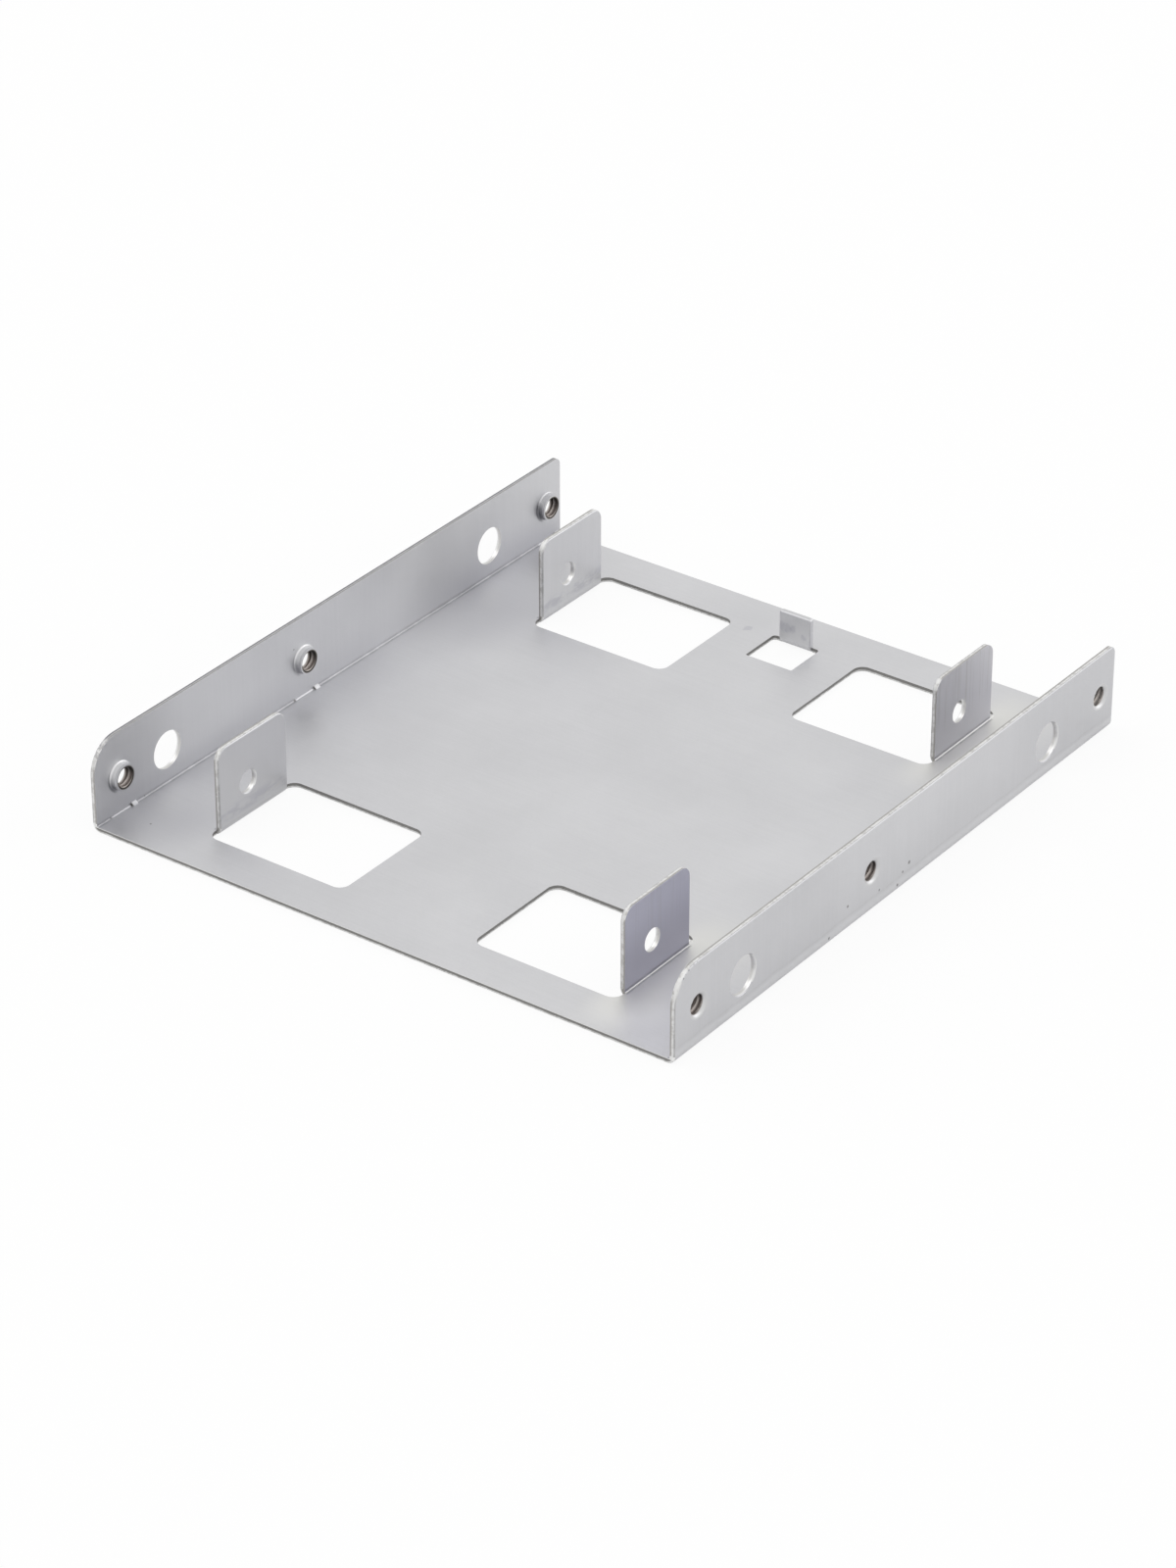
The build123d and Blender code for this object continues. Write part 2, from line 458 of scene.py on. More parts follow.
    def folding_marks(self, at: Reading, zinc: object) -> object:
        """Adds the die's marks: a line outside each fold, stains round it and a worn band below.

        The line lies at one height, moved and broken up by noise, and the stains round it. The
        facing sides of the tabs carry the stains, and the flanges' outer faces the worn band.
        The flange sides of the right tabs carry painted shade with a bluish tint, paler towards
        the top, and those of the rear tabs keep the drawn streaks of the die.

        Args:
            at: The point.
            zinc: The colour of the skin.

        Returns:
            The marked colour.
        """
        outside = at.above(at.wide, FLANGE_FACE - HAIR)
        tab_skin = at.between(at.wide, TAB_FACE - HAIR, TAB_FACE + HAIR)
        height = at.scaled(at.minus(at.noise(0.3, 1.0), 0.5), self.die_line_wobble, at.z)
        off_line = at.offset(height, self.die_line_height)
        broken = at.ramp(at.noise(0.8, 2.0), 0.34, 0.6, 0.4, 1.0)
        share = at.times(outside, self.flange_line_share)
        share = at.scaled(tab_skin, self.tab_line_share, share)
        line = at.times(broken, at.ramp(off_line, self.die_line_width, 0.0), share)
        zinc = at.mix(line, zinc, self.fracture)
        stain = at.noise((0.5, 0.3, 0.75), 3.0, 0.62)
        band = at.times(at.ramp(at.z, 1.5, 2.3), at.ramp(at.z, 4.4, 3.0))
        stain = at.times(at.ramp(stain, 0.42, 0.62), band, tab_skin, self.stain_share)
        zinc = at.mix(stain, zinc, self.stain)
        worn = at.times(outside, at.ramp(height, 2.3, 1.9), self.worn_share)
        zinc = at.mix(worn, zinc, self.worn)
        back = at.between(at.wide, TAB_BACK - 0.02, TAB_BACK + HAIR)
        streaks = at.noise((1.0, 2.3, 0.05), 3.0, 0.6)
        streaks = at.times(at.ramp(streaks, 0.5, 0.66), back, at.ramp(at.z, 4.0, 8.0))
        # Painted shade with a bluish tint on the right tabs' flange sides, darker towards the
        # bottom
        height = at.ramp(at.z, 3.0, 12.0)
        blue_shade = at.mix(
            at.above(at.y, 0.0),
            at.mix(height, *self.front_blue_shade),
            at.mix(height, *self.rear_blue_shade),
        )
        right_back = at.times(back, at.above(at.x, 0.0), at.above(at.z, SHEET + 0.1))
        zinc = at.mix(at.times(right_back, self.blue_shade_share), zinc, blue_shade)
        streak_share = at.ramp(at.y, 20.0, 30.0, 0.10, 0.34)
        return at.mix(at.times(streaks, streak_share), zinc, self.fracture)

    def painted_light_and_shade(self, at: Reading, zinc: object) -> object:
        """Adds slow changes of tone, painted light and painted shade.

        Painted shade lies beside the flanges' folds and thickens towards the fold and the rear.
        Painted shade also darkens the facing sides of the front tabs and the ends of the flanges'
        outer faces, and painted light lightens the middle of those faces and the floor beside the
        right tabs. Round places on the floor take painted shade on the left and painted light on
        the right. On the left, painted light lifts the rear tab's cast shadow on the flange's wall
        and on the floor beside it, and lightens the front of that wall.

        Args:
            at: The point.
            zinc: The colour of the skin.

        Returns:
            The colour with its painted light and shade.
        """
        inner = at.below(at.wide, FLANGE_INSIDE + HAIR)
        inside = at.times(inner, at.above(at.z, SHEET / 2))
        outside = at.above(at.wide, FLANGE_FACE - HAIR)
        risen = at.above(at.z, SHEET + 0.1)
        flat = at.times(inside, at.below(at.z, SHEET + 0.11))
        off_wall = at.minus(FLANGE_INSIDE, at.wide)
        from_fold = at.most(off_wall, at.minus(at.z, SHEET))
        # Painted shade beside the flanges' folds, thicker towards the fold and the rear
        painted_shade = at.times(
            at.ramp(from_fold, 7.0, 0.6),
            at.ramp(at.y, 18.0, 34.0, 0.2, 0.42),
            at.most(at.ramp(at.y, -30.0, -44.0, 0.2, 0.8), at.ramp(at.facing_z, 0.9, 0.1)),
            inside,
        )
        zinc = at.mix(painted_shade, zinc, self.painted_shade)
        # Painted shade on the front tabs' facing sides and the ends of the flanges' outer faces
        tab_skin = at.between(at.wide, TAB_FACE - HAIR, TAB_FACE + HAIR)
        front_tab = at.times(tab_skin, at.below(at.y, 0.0), risen)
        middle = at.ramp(at.offset(at.y, 6.0), 34.0, 12.0)
        outer = at.times(outside, at.ramp(middle, 0.0, 1.0, self.flange_end_shade, 0.0))
        zinc = at.mix(at.scaled(front_tab, self.front_tab_shade, outer), zinc, self.dim_shade)
        # Painted light in the middle of the flanges' outer faces
        zinc = at.mix(at.times(outside, middle, self.flange_light), zinc, self.painted_light)
        # Painted shade and painted light in round places on the floor
        for colour, places in ((self.painted_shade, self.shaded_places), (self.painted_light, self.lit_places)):
            for x, y, radius, share in places:
                away = at.away((x, y, SHEET))
                spot = at.times(at.ramp(away, radius, 0.0, 0.0, share), flat)
                zinc = at.mix(spot, zinc, colour)
        # Painted light on the floor beside the right tabs
        channel_light = at.times(
            at.ramp(self.tab_gap(at), 19.0, 8.0),
            at.ramp(at.x, 48.0, 37.0),
            at.ramp(at.x, 31.0, 36.5),
            at.between(at.z, SHEET / 2, SHEET + 0.2),
        )
        zinc = at.mix(channel_light, zinc, self.channel_light)
        # Painted light lifting the rear left tab's cast shadow on the flange's wall and the floor,
        # and on the front of that wall
        leaning = at.offset(at.scaled(at.z, -0.4, at.y), 19.0)
        wall = at.times(at.below(off_wall, 0.3), risen)
        on_floor = at.times(at.ramp(off_wall, 9.0, 0.5, 0.0, 0.24), flat)
        on_wall = at.times(at.ramp(at.z, 1.0, 11.0, 0.22, 0.60), wall)
        rear = at.times(at.ramp(leaning, 17.0, 4.0), at.most(on_floor, on_wall))
        front = at.times(
            at.ramp(at.y, -14.0, -28.0), at.ramp(at.z, 2.0, 5.0), wall, self.front_wall_light
        )
        bright = at.times(at.most(rear, front), at.below(at.x, 0.0), inner)
        return at.mix(bright, zinc, self.painted_light)

    def crease(
        self, at: Reading, zinc: object, wall: float, shares: Span, clear: object
    ) -> object:
        """Paints shade on a fold's inside, so that only a thin bright line is left along its
        middle.

        The fold's inner round turns from the floor to an upright face. A point lies out and up
        from the middle of that round. The sum of the two is how far it lies along the round's
        chord, and their difference how far off it, both times the square root of two.

        Args:
            at: The point.
            zinc: The colour of the skin.
            wall: Distance of the upright face from the middle plane.
            shares: Shares of painted shade in the middle of the round and beside it.
            clear: One where the fold stays bright.

        Returns:
            The colour with its painted shade.
        """
        side = 1.0 if wall > FLANGE_INSIDE - 1 else -1.0
        out = at.times(at.minus(at.wide, wall - side * CHORD_INSET), side)
        rise = at.minus(at.z, SHEET + CHORD_INSET)
        along = at.math("ABSOLUTE", at.math("ADD", out, rise))
        into = at.minus(rise, out)
        # Painted shade in the fold's inner round, leaving a thin bright line
        share = at.times(
            at.ramp(along, 0.62, 0.30),
            at.ramp(into, 0.75, 0.55),
            at.above(into, -0.2),
            at.ramp(along, 0.10, 0.20, *shares),
            at.ramp(at.noise(0.5, 3.0, 0.6), 0.3, 0.6, 0.55, 1.0),
            at.inverse(clear),
        )
        return at.mix(share, zinc, self.nicks_and_shade)

    def collar_shade_and_highlight(self, at: Reading, zinc: object, near_thread: object) -> object:
        """Adds painted shade at each collar's foot, on its lower front side, and a painted
        highlight on its upper side.

        Args:
            at: The point.
            zinc: The colour of the skin.
            near_thread: The point's distance from the nearest threaded hole's axis.

        Returns:
            The colour round the collars.
        """
        inside = at.between(at.wide, RIM_FACE + 0.35, FLANGE_INSIDE + HAIR)
        room = self.collar_room
        close = {row: at.between(at.y, row.value - room, row.value + room) for row in ThreadRow}
        ahead: object = 0.0
        for row, near_row in close.items():
            ahead = at.scaled(near_row, at.minus(row.value, at.y), ahead)
        lower = at.times(at.minus(THREAD_HEIGHT, at.z), 0.35)
        # Painted shade at the collar's foot, on its lower front side
        foot_shade = at.times(
            at.ramp(at.scaled(ahead, 1.2, lower), 1.4, 2.6, 0.0, 0.9),
            at.ramp(near_thread, 2.75, 2.4),
            at.ramp(close[ThreadRow.MIDDLE], 0.0, 1.0, 1.0, 0.45),
            inside,
        )
        zinc = at.mix(foot_shade, zinc, self.nicks_and_shade)
        # Painted highlight on the collar's upper side
        lit = at.times(
            at.ramp(at.z, THREAD_HEIGHT - 1.2, THREAD_HEIGHT + 1.2),
            at.ramp(near_thread, 2.5, 2.3),
            at.ramp(at.y, -20.0, 40.0, 0.8, 0.1),
            inside,
        )
        return at.mix(lit, zinc, self.painted_light)

    def cut_faces(self, at: Reading, upright: object, off_tab: object, collar: object) -> object:
        """Finds the cut faces: the sheet's ends and the walls of its openings.

        Args:
            at: The point.
            upright: One above the folds.
            off_tab: Zero beside the tabs.
            collar: One on the collars, where there is no cut face.

        Returns:
            One on a cut face, and else zero.
        """
        window_edge = at.times(at.below(at.wide, TAB_BACK + 0.1), off_tab)
        cut = at.above(at.facing_y, 0.5)
        for reading, low, high, limit, facing in (
            (at.wide, FLANGE_INSIDE + 0.03, FLANGE_FACE - 0.03, upright, at.facing_x),
            (at.wide, TAB_FACE + 0.03, TAB_BACK - 0.03, upright, at.facing_x),
            (at.z, 0.02, SHEET - 0.02, window_edge, at.facing_z),
        ):
            within = at.between(reading, low, high)
            cut = at.most(cut, at.times(within, at.below(facing, 0.5), limit))
        stop = at.times(at.between(at.y, *self.stop_rows), at.below(at.wide, self.stop_half_width))
        stop = at.times(stop, at.above(at.z, 0.1))
        return at.times(cut, at.inverse(collar), at.inverse(stop))

    def edges(
        self, at: Reading, near_access: object, collar: object
    ) -> tuple[object, object, object]:
        """Finds the cut edges and their colour.

        An upright cut face is burnished, with a thin dull line next to the skin and a torn line
        beyond. The floor's cut faces are torn from less than half way, and more darkly in its
        windows and in front, where the windows' walls carry painted shade. The left flange's top
        edge takes painted shade, the floor's front edge a painted highlight line near its top, and
        cut faces turned partly forward and up a painted highlight. The walls of round holes are
        reamed bright.

        Args:
            at: The point.
            near_access: Its distance from the nearest axis of the tabs' holes.
            collar: One on the collars, where there is no cut face.

        Returns:
            One on a cut face, the colour there, and one on a hole's bright wall.
        """
        upright = at.above(at.z, OUTER_BEND)
        by_tab = self.beside_tab(at)
        off_tab = at.inverse(by_tab)
        cut = self.cut_faces(at, upright, off_tab, collar)
        body_depth = self.depth(at, at.minus(at.wide, FLANGE_FACE - OUTER_BEND))
        tab_depth = self.depth(at, at.minus(TAB_FACE + OUTER_BEND, at.wide))
        depth = at.scaled(by_tab, at.minus(tab_depth, body_depth), body_depth)
        tear = at.noise(1.6, 3.0, 0.7)
        fine = at.noise(1.1, 4.0, 0.7)
        torn_depth = at.scaled(upright, -0.24, at.scaled(tear, 0.22, depth))
        torn = at.ramp(torn_depth, 0.36, 0.5)
        fresh = at.mix(at.ramp(fine, 0.42, 0.62), self.burnish, self.dull)
        border = at.times(at.ramp(depth, 0.25, 0.15), upright, self.border_share)
        fresh = at.mix(border, fresh, self.nicks_and_shade)
        low = at.inverse(upright)
        # Darker torn steel in the windows and in front, with painted shade on the window walls
        window = at.times(at.between(at.y, FRONT + 0.3, -FRONT - 0.3), low, off_tab)
        front = at.times(at.below(at.y, FRONT + 0.3), low)
        ripped = at.mix(at.most(window, front), self.fracture, self.dark_fracture_and_shade)
        tone = at.mix(torn, fresh, ripped)
        # Painted shade on the left flange's top edge, darkest at its outer side
        left_top = at.times(at.below(at.x, -FLANGE_INSIDE), at.above(at.facing_z, 0.5))
        rim = at.times(left_top, at.ramp(depth, 0.46, 0.34, 0.4, 0.95))
        tone = at.mix(rim, tone, self.nicks_and_shade)
        # Painted highlight line near the top of the floor's front edge
        front_edge_highlight = at.times(front, at.ramp(at.z, SHEET - 0.13, SHEET - 0.06), self.front_edge_highlight_share)
        tone = at.mix(front_edge_highlight, tone, self.front_edge_highlight)
        # Painted highlight on cut faces turned partly forward and up
        corner = at.times(
            at.ramp(at.facing_y, 0.25, 0.5),
            at.ramp(at.facing_z, 0.12, 0.35),
            at.ramp(fine, 0.6, 0.5, 0.25, 0.9),
            upright,
        )
        tone = at.mix(corner, tone, self.reamed_and_highlight)
        flange_hole = at.times(
            at.above(at.wide, FLANGE_INSIDE), at.below(near_access, ACCESS_RADIUS + 0.14)
        )
        tab_hole = at.times(by_tab, at.below(near_access, DRIVE_HOLE_RADIUS + 0.15))
        reamed = at.times(cut, at.most(flange_hole, tab_hole))
        wall = at.mix(at.ramp(depth, 0.3, 0.45), self.reamed_and_highlight, self.dull)
        return cut, at.mix(reamed, tone, wall), reamed

    def rolled(self, at: Reading, steel: object, cut: object) -> object:
        """Adds the nicks of the bevel at the skin's edge, with painted shade along the bevel and a
        heavier painted shade on the left flange's bevel.

        Args:
            at: The point.
            steel: The colour of the sheet.
            cut: One on a cut face.

        Returns:
            The colour with the bevel's.
        """
        bevel = at.between(at.wide, FLANGE_FACE - 0.125, FLANGE_FACE - 0.003)
        bevel = at.times(bevel, at.above(at.z, OUTER_BEND), at.inverse(cut))
        nicks = at.ramp(at.noise(1.3, 3.0, 0.65), 0.5, 0.58, 0.0, 0.8)
        near_front = at.ramp(at.y, FRONT + 7.0, FRONT + 3.0, 0.3, 1.0)
        # Painted shade along the bevel, heavier on the left flange, and real nicks near the front
        share = at.most(
            at.times(nicks, near_front),
            at.ramp(near_front, 0.3, 1.0, 0.24, 0.04),
            at.times(at.below(at.x, 0.0), self.left_bevel_shade),
        )
        return at.mix(at.times(bevel, share), steel, self.nicks_and_shade)

    def pitted(self, at: Reading, steel: object, mottle: object) -> object:
        """Adds pits and smudges, each a rough-edged dot round its own place.

        Args:
            at: The point.
            steel: The colour of the sheet.
            mottle: The mottling that roughens their edges.

        Returns:
            The spotted colour.
        """
        for x, y, z, radius in self.smudges:
            gap = at.scaled(at.minus(mottle, 0.5), 3.0, at.away((x, y, z)))
            spot = at.ramp(gap, radius, radius * 0.3, 0.0, self.smudge_share)
            steel = at.mix(spot, steel, self.stain)
        spots: object = 0.0
        for x, y, z, radius in self.pits:
            gap = at.scaled(mottle, 0.15, at.away((x, y, z)))
            spots = at.most(spots, at.ramp(gap, radius + 0.12, radius - 0.06))
        return at.mix(at.times(spots, self.pit_share), steel, self.pit)

    def skin(self, at: Reading, mottle: object, grain: object) -> object:
        """Works out the colour of the uncut skin, with its painted light and shade and the painted
        shade in the creases of its folds.

        Args:
            at: The point.
            mottle: The small mottling.
            grain: The fine grain.

        Returns:
            The skin's colour.
        """
        zinc = self.zinc(at, mottle, grain)
        zinc = self.painted_light_and_shade(at, zinc)
        zinc = self.folding_marks(at, zinc)
        first, last = self.marked_span
        marked = at.most(*(at.between(at.y, row + first, row + last) for row in THREAD_ROWS))
        # Painted shade in the creases of the folds
        zinc = self.crease(at, zinc, FLANGE_INSIDE, (0.50, 0.30), marked)
        front = at.ramp(at.y, 32.0, 20.0)
        zinc = self.crease(at, zinc, FLANGE_INSIDE, (0.40, 0.10), front)
        off_tab = at.inverse(self.beside_tab(at))
        return self.crease(at, zinc, TAB_BACK, (0.0, 0.5), off_tab)

    def material(self) -> Material:
        """Builds the material.

        Returns:
            The material of the folded sheet.
        """
        material, at, shader, _ = new_finish("galvanised_steel")
        mottle = at.noise(0.55, 3.0, 0.6)
        grain = at.noise(4.2, 2.0, 0.6)
        near_thread = at.hole_distance(THREAD_ROWS, THREAD_HEIGHT)
        near_access = at.hole_distance(DRIVE_HOLE_ROWS, DRIVE_HOLE_HEIGHT)
        collar = at.times(
            at.above(at.wide, RIM_FACE - 0.1), at.below(near_thread, self.collar_reach)
        )
        zinc = self.collar_shade_and_highlight(at, self.skin(at, mottle, grain), near_thread)
        cut, tone, reamed = self.edges(at, near_access, collar)
        steel = self.rolled(at, at.mix(cut, zinc, tone), cut)
        # Steel inside the collars' bores: partly its own colour and partly painted shade
        bored = at.ramp(near_thread, THREAD_RADIUS + 0.12, THREAD_RADIUS + 0.06)
        steel = at.mix(at.times(collar, bored), steel, self.bore)
        steel = self.pitted(at, steel, mottle)
        terms = ((self.mottle_roughness, mottle), (self.grain_roughness, grain))
        rough = at.scaled(cut, self.cut_roughness, at.weighted(self.roughness, *terms))
        rough = at.scaled(reamed, self.reamed_roughness, rough)
        relief = at.scaled(mottle, 0.8, grain)
        relief = at.scaled(at.times(cut, at.noise(1.6, 3.0, 0.7)), 2.5, relief)
        at.metal(shader, steel, rough, relief, self.grain_height, self.grain_strength)
        return material


@dataclass(frozen=True)
class TappedSteel:
    """The finish inside the threaded holes: cut threads, with painted shade in the grooves, painted
    highlights on the crests and painted light that makes them lighter below than above, behind a
    drawn entry.
    """

    # Shaded and lit copies of the crest and groove colours: painted light and shade
    crest: tuple[Colour, Colour] = ((0.20, 0.19, 0.185), (0.50, 0.455, 0.43))
    groove: tuple[Colour, Colour] = ((0.030, 0.027, 0.025), (0.16, 0.137, 0.128))
    # Lighter grooves in the rear right bore
    rear_right_groove: Colour = (0.32, 0.31, 0.30)
    rear_right_groove_share: float = 0.6
    edge: Colour = (0.07, 0.065, 0.06)
    entry: Colour = (0.64, 0.64, 0.65)
    crest_radius: float = 1.50
    groove_radius: float = 1.67
    entry_start: float = 50.33
    entry_end: float = 50.5
    roughness: float = 0.42
    stain_roughness: float = 0.2
    chatter_height: float = 0.00001
    chatter_strength: float = 0.4

    def material(self) -> Material:
        """Builds the material.

        Returns:
            The material of the linings of the threaded holes.
        """
        material, at, shader, _ = new_finish("tapped_steel")
        near_axis = at.hole_distance(THREAD_ROWS, THREAD_HEIGHT)
        stain = at.noise(1.1, 3.0, 0.6)
        chatter = at.noise((8.0, 2.5, 2.5), 2.0)
        reach = at.scaled(chatter, 0.1, near_axis)
        # Painted shade in the grooves and a painted highlight on the crests
        high = at.times(
            at.ramp(reach, self.groove_radius, self.crest_radius),
            at.ramp(stain, 0.25, 0.6, 0.45, 1.0),
        )
        # Lighter grooves in the rear right bore
        rear = at.above(at.y, ThreadRow.REAR.value - 3.0)
        rear_right = at.times(rear, at.above(at.x, 0.0), self.rear_right_groove_share)
        # Painted light: lighter towards the bottom of the bore, darker towards the top
        lit = at.ramp(at.z, THREAD_HEIGHT + 1.1, THREAD_HEIGHT - 1.3)
        groove = at.mix(rear_right, at.mix(lit, *self.groove), self.rear_right_groove)
        cut = at.mix(high, groove, at.mix(lit, *self.crest))
        cut = at.mix(at.ramp(at.wide, RIM_FACE + 0.10, RIM_FACE + 0.03), cut, self.edge)
        colour = at.mix(at.ramp(at.wide, self.entry_start, self.entry_end), cut, self.entry)
        rough = at.weighted(self.roughness, (self.stain_roughness, stain))
        at.metal(shader, colour, rough, chatter, self.chatter_height, self.chatter_strength)
        return material


@dataclass(frozen=True)
class PaleFloor:
    """The floor's finish: a white board that shows as the background's white."""

    board: Colour = (0.83, 0.83, 0.83)
    fibre: Colour = (0.81, 0.81, 0.815)
    fibre_scale: float = 0.4
    roughness: float = 0.9
    gloss: float = 0.2
    seen_share: float = 0.9
    mirrored_share: float = 0.3

    def material(self) -> Material:
        """Builds the material.

        The board is lit as any white board is, and what the camera and the metal see of it is
        mixed with plain white. Seen from below it lets the view through.

        Returns:
            The material of the floor.
        """
        material, at, shader, output = new_finish("pale_floor")
        fibres = at.noise(self.fibre_scale)
        at.put(shader.inputs["Base Color"], at.mix(fibres, self.fibre, self.board))
        at.put(shader.inputs["Roughness"], self.roughness)
        at.put(shader.inputs["Specular IOR Level"], self.gloss)
        white = at.node("ShaderNodeEmission", {"Strength": 1.0})
        rays = at.node("ShaderNodeLightPath").outputs
        seen = at.most(rays["Is Camera Ray"], rays["Is Transmission Ray"])
        mirrored = at.times(rays["Is Glossy Ray"], self.mirrored_share)
        share = at.most(at.times(seen, self.seen_share), mirrored)
        inputs = {0: share, 1: shader.outputs[0], 2: white.outputs[0]}
        blend = at.node("ShaderNodeMixShader", inputs)
        clear = at.node("ShaderNodeBsdfTransparent")
        underside = at.node("ShaderNodeNewGeometry").outputs["Backfacing"]
        inputs = {0: underside, 1: blend.outputs[0], 2: clear.outputs[0]}
        sides = at.node("ShaderNodeMixShader", inputs)
        at.put(output.inputs["Surface"], sides.outputs[0])
        return material


def add_object(name: str, data: bpy.types.ID) -> bpy.types.Object:
    """Makes an object of some data and puts it in the scene.

    Args:
        name: The new object's name.
        data: Its mesh, lamp or camera.

    Returns:
        The new object, at the origin.
    """
    made = bpy.data.objects.new(name, data)
    bpy.context.scene.collection.objects.link(made)
    return made


def add_piece(
    name: str, points: np.ndarray, material: Material, wrapped: bool = False
) -> None:
    """Makes a closed surface from a grid of points and hangs it on the bracket's body.

    The grid's second axis is a closed ring and its first axis runs along the path. Each quad
    joins two neighbours on a ring to the same two on the next. A wrapped grid joins its last
    ring to its first, and any other is closed by a fan round a middle point at each end.

    Args:
        name: The new piece's name.
        points: Array of rings, points on a ring and coordinates, in millimetres.
        material: The material of all its faces.
        wrapped: Whether the path is closed as well.
    """
    rings, count, _ = points.shape
    ring, step = np.meshgrid(np.arange(rings - (not wrapped)), np.arange(count), indexing="ij")
    here = ring * count + step
    beside = ring * count + (step + 1) % count
    following = (ring + 1) % rings * count
    ahead, across = following + (step + 1) % count, following + step
    faces = np.stack([here, beside, ahead, across], axis=-1).reshape(-1, 4).tolist()
    vertices = points.reshape(-1, 3)
    if not wrapped:
        vertices = np.concatenate([vertices, points[[0, -1]].mean(axis=1)])
        loop = np.arange(count)
        turned = (loop + 1) % count
        last = (rings - 1) * count
        first_middle = np.full(count, rings * count)
        faces += np.stack([turned, loop, first_middle], axis=-1).tolist()
        faces += np.stack([last + loop, last + turned, first_middle + 1], axis=-1).tolist()
    mesh = bpy.data.meshes.new(name)
    mesh.from_pydata((vertices * MM).tolist(), [], faces)
    mesh.polygons.foreach_set("use_smooth", np.ones(len(mesh.polygons), bool))
    mesh.materials.append(material)
    mesh.validate()
    piece = add_object(name, mesh)
    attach(piece, BODY)
    log.info("%s: %d faces", name, len(mesh.polygons))


@dataclass
class FoldedSheet:
    """The whole folded sheet, which the frame gives."""

    node: str = "bracket"
    steel: GalvanisedSteel = field(default_factory=GalvanisedSteel)

    def dress(self) -> Material:
        """Puts the steel on every slot of the sheet.

        Returns:
            The steel, for the pieces that are pressed out of the same sheet.
        """
        finish = self.steel.material()
        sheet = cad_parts[self.node]
        for slot in sheet.material_slots:
            slot.material = finish
        log.info("%s: dressed in %s", self.node, finish.name)
        return finish


@dataclass
class TappedBore:
    """The tapped inside of one collar: a thin lining with its grooves and its entry."""

    side: Side
    row: ThreadRow
    pitch: float = 0.794
    crest_radius: float = 1.42
    groove_radius: float = 1.735
    flat_share: float = 0.12
    hidden_wall: float = 0.05
    rim: float = 48.91
    rim_bevel: float = 0.16
    entry_start: float = 50.2
    entry_end: float = 50.797
    entry_radius: float = 2.15
    entry_round: float = 0.4
    fade_lead: float = 0.12
    fade_length: float = 0.3
    steps_round: int = 72
    steps_along: int = 84

    def build(self, material: Material) -> None:
        """Builds the lining.

        The inner surface is a function of the place along the axis and the angle. Its radius
        swings between crest and groove once a pitch, as a triangle wave with flattened ends of
        the place less one pitch a turn, which makes the thread a right-handed helix. From the
        start of the entry the groove fades out, and the radius opens by a quarter of an ellipse
        that ends square to the flange's face. The outer surface runs back inside the wall.

        Args:
            material: The finish of the tapped steel.
        """
        depth = np.linspace(self.rim, self.entry_end, self.steps_along)
        angle = np.linspace(0.0, 2 * np.pi, self.steps_round, endpoint=False)
        place = self.side.value * depth[None, :] - self.pitch * angle[:, None] / (2 * np.pi)
        wave = np.abs(2 * np.mod(place / self.pitch, 1.0) - 1)
        groove = np.clip((wave - self.flat_share) / (1 - 2 * self.flat_share), 0.0, 1.0)
        fade = (self.entry_start + self.fade_lead - depth) / self.fade_length
        groove = groove * np.clip(fade, 0.0, 1.0) * (self.groove_radius - self.crest_radius)
        opening = (depth - self.entry_start) / (FLANGE_FACE - self.entry_start)
        opening = np.clip(opening, 0.0, 1.0)
        flare = (self.entry_radius - self.crest_radius) * (1 - np.sqrt(1 - opening**2))
        bevel = np.clip(self.rim_bevel - (depth - self.rim), 0.0, self.rim_bevel)
        inner = self.crest_radius + flare + np.maximum(groove, bevel)
        past = np.clip(depth[::-1] - (FLANGE_FACE - self.entry_round), 0.0, None)
        wall = THREAD_RADIUS + self.entry_round + self.hidden_wall
        outer = wall - np.sqrt(self.entry_round**2 - past**2)
        radius = np.concatenate([inner, np.broadcast_to(outer, inner.shape)], axis=1)
        along = self.side.value * np.concatenate([depth, depth[::-1]])
        points = np.stack(
            [
                np.broadcast_to(along, radius.shape),
                self.row.value + radius * np.cos(angle)[:, None],
                THREAD_HEIGHT + radius * np.sin(angle)[:, None],
            ],
            axis=-1,
        )
        if self.side is Side.LEFT:
            points = points[:, ::-1]
        name = f"tapped_bore_{self.side.name.lower()}_{self.row.name.lower()}"
        add_piece(name, points, material, wrapped=True)


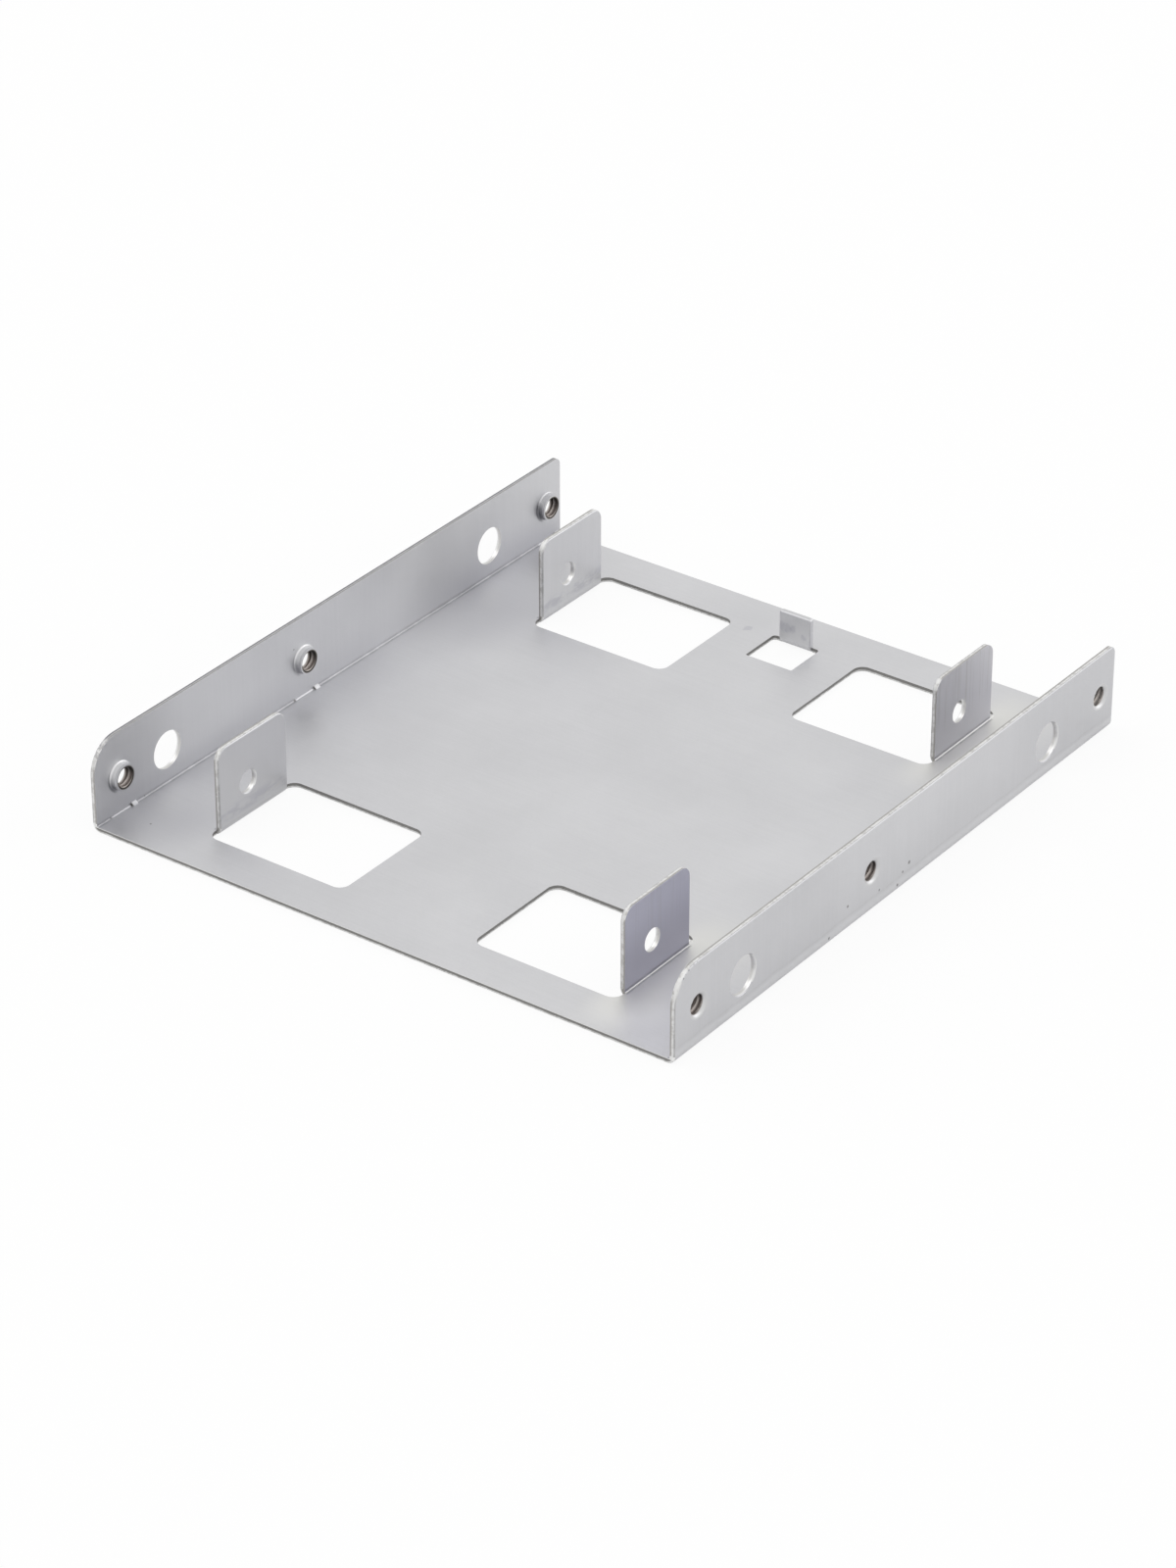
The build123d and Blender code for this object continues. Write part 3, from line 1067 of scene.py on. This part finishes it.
@dataclass
class FoldMark:
    """Marks of the folding tool below one collar: a thin rib and a nub."""

    side: Side
    row: ThreadRow
    rib_span: Span = (-2.3, 1.8)
    rib_width: float = 0.26
    rib_rise: float = 0.06
    nub_span: Span = (2.05, 3.2)
    nub_width: float = 0.86
    nub_rise: float = 0.30
    sink: float = 0.12
    end_share: float = 0.25
    steps_along: int = 21
    steps_across: int = 13

    def pillow(
        self, kind: str, span: Span, width: float, rise: float, material: Material
    ) -> None:
        """Builds one raised mark in the corner.

        The surface is a function of the place along the corner, u, and across it, v, both from
        minus one to one. It stands off the middle of the inner round, square to the chord, by the
        rise times (1 - v^2 / 4) times the end's share, which goes from one in the middle to the
        end share by the fourth root of (1 - u^4). Its width narrows by the same share. Its
        underside lies flat, a little way inside the metal.

        Args:
            kind: What the mark is, for its name.
            span: Its two ends, from the centre of the collar.
            width: Its width along the chord.
            rise: Its height over the middle of the round.
            material: The finish of the sheet.
        """
        along = np.sin(np.linspace(-0.5, 0.5, self.steps_along) * np.pi)
        across = np.linspace(-1.0, 1.0, self.steps_across)
        end = np.maximum(1 - along**4, 0.0) ** 0.25
        end = self.end_share + (1 - self.end_share) * end
        top = rise * np.outer(end, 1 - across**2 / 4)
        chord = np.outer(end, across) * width / 2
        off = np.concatenate([top, np.full_like(top[:, 1:-1], -self.sink)], axis=1)
        chord = np.concatenate([chord, chord[:, -2:0:-1]], axis=1)
        middle, spread = sum(span) / 2, (span[1] - span[0]) / 2
        place = self.row.value + middle + spread * along[:, None]
        points = np.stack(
            [
                self.side.value * (FLANGE_INSIDE - CHORD_INSET + ROOT_HALF * (chord - off)),
                np.broadcast_to(place, chord.shape),
                SHEET + CHORD_INSET + ROOT_HALF * (chord + off),
            ],
            axis=-1,
        )
        if self.side is Side.LEFT:
            points = points[:, ::-1]
        name = f"fold_{kind}_{self.side.name.lower()}_{self.row.name.lower()}"
        add_piece(name, points, material)

    def build(self, material: Material) -> None:
        """Builds the rib and the nub in the finish of the sheet."""
        self.pillow("rib", self.rib_span, self.rib_width, self.rib_rise, material)
        self.pillow("nub", self.nub_span, self.nub_width, self.nub_rise, material)


@dataclass
class ReliefCurl:
    """The curl of torn metal in the relief behind one right tab, where the fold ends."""

    hole_row: float
    corner: float = 1.7
    slot: float = 2.05
    span: Span = (-0.5, 1.1)
    inset: float = 0.12
    height: float = 0.52
    half_width: float = 0.34
    half_rise: float = 0.38
    end_share: float = 0.2
    steps_along: int = 25
    steps_round: int = 16

    def build(self, material: Material) -> None:
        """Builds the curl as a bead along the round corner of the relief.

        Its middle line lies the inset inside a round of the corner's radius: at the length s past
        the round's start it stands at (r cos(s / r), r sin(s / r)), and before it at (r, s). Across
        the line the bead is an ellipse, and both of its half-sizes shrink to the end share by the
        square root of 1 - t^4, with t from minus one to one along it.

        Args:
            material: The finish of the sheet.
        """
        along = np.sin(np.linspace(-0.5, 0.5, self.steps_along) * np.pi)
        around = np.linspace(0, 2 * np.pi, self.steps_round, endpoint=False)[::-1]
        shrink = np.sqrt(np.maximum(1 - along**4, 0.0))
        shrink = self.end_share + (1 - self.end_share) * shrink
        length = (sum(self.span) + (self.span[1] - self.span[0]) * along[:, None]) / 2
        radius = self.corner - self.inset
        angle = np.maximum(length, 0.0) / radius
        reach = radius + self.half_width * np.outer(shrink, np.cos(around))
        centre_x = TAB_BACK - self.corner
        centre_y = self.hole_row + TAB_LEAD + TAB_LENGTH / 2 + self.slot - self.corner
        points = np.stack(
            [
                centre_x + reach * np.cos(angle),
                centre_y + reach * np.sin(angle) + np.minimum(length, 0.0),
                self.height + self.half_rise * np.outer(shrink, np.sin(around)),
            ],
            axis=-1,
        )
        row = "front" if self.hole_row < 0 else "rear"
        add_piece(f"relief_curl_right_{row}", points, material)


@dataclass(frozen=True)
class Lamp:
    """A square soft lamp: its name, its middle and side in metres, and its power in watts."""

    name: str
    place: Point
    size: float
    watts: float

    def hang(self) -> None:
        """Hangs the lamp so that it faces the bracket."""
        data = bpy.data.lights.new(self.name, "AREA")
        data.shape = "SQUARE"
        data.size = self.size
        data.energy = self.watts
        lamp = add_object(self.name, data)
        lamp.location = self.place
        lamp.rotation_euler = (-Vector(self.place)).to_track_quat("-Z", "Y").to_euler()


@dataclass
class Studio:
    """The floor, the soft light and the camera."""

    floor_size: float = 6.0
    floor_drop: float = 0.05
    sky: Colour = (1.0, 0.998, 0.985)
    sky_strength: float = 1.0
    lamps: tuple[Lamp, ...] = (
        Lamp("key_softbox", (-0.9, -0.5, 1.5), 1.1, 4.0),
        Lamp("side_softbox", (0.95, 1.25, 0.58), 1.5, 5.7),
    )
    camera_place: Point = (387.382, -533.521, 393.020)
    camera_aim: Point = (-1.602, -3.279, 0.0)
    camera_reach: Span = (0.05, 20.0)
    lens: float = 121.79
    sensor: float = 36.0

    def floor(self) -> None:
        """Lays the floor: a flat square a hair under the bracket."""
        half = self.floor_size / 2
        level = -self.floor_drop * MM
        corners = [(-half, -half), (half, -half), (half, half), (-half, half)]
        mesh = bpy.data.meshes.new("floor")
        mesh.from_pydata([(x, y, level) for x, y in corners], [], [(0, 1, 2, 3)])
        mesh.materials.append(PaleFloor().material())
        board = add_object("floor", mesh)

    def world(self) -> None:
        """Makes the sky: one even soft white."""
        world = bpy.data.worlds.new("soft_white")
        world.use_nodes = True
        world.node_tree.nodes.clear()
        graph = Graph(world.node_tree)
        inputs = {"Color": self.sky, "Strength": self.sky_strength}
        sky = graph.node("ShaderNodeBackground", inputs)
        graph.node("ShaderNodeOutputWorld", {"Surface": sky.outputs[0]})
        bpy.context.scene.world = world

    def camera(self) -> None:
        """Sets the camera at the viewing angle of the photograph."""
        data = bpy.data.cameras.new("view")
        data.lens = self.lens
        data.sensor_fit = "AUTO"
        data.sensor_width = self.sensor
        data.clip_start, data.clip_end = self.camera_reach
        camera = add_object("view", data)
        place = Vector(self.camera_place) * MM
        aim = Vector(self.camera_aim) * MM
        camera.location = place
        camera.rotation_euler = (aim - place).to_track_quat("-Z", "Y").to_euler()
        bpy.context.scene.camera = camera

    def build(self) -> None:
        """Sets up the floor, the sky, the lamps and the camera."""
        self.floor()
        self.world()
        for lamp in self.lamps:
            lamp.hang()
        self.camera()
        bpy.context.scene.view_settings.view_transform = "Standard"


def main() -> None:
    """Builds the bracket and its studio in order."""
    logging.basicConfig(level=logging.INFO, format="%(name)s: %(message)s")
    steel = FoldedSheet().dress()
    tapped = TappedSteel().material()
    for side in Side:
        for row in ThreadRow:
            TappedBore(side, row).build(tapped)
            FoldMark(side, row).build(steel)
    for hole_row in DRIVE_HOLE_ROWS:
        ReliefCurl(hole_row).build(steel)
    Studio().build()


if __name__ == "__main__":
    main()
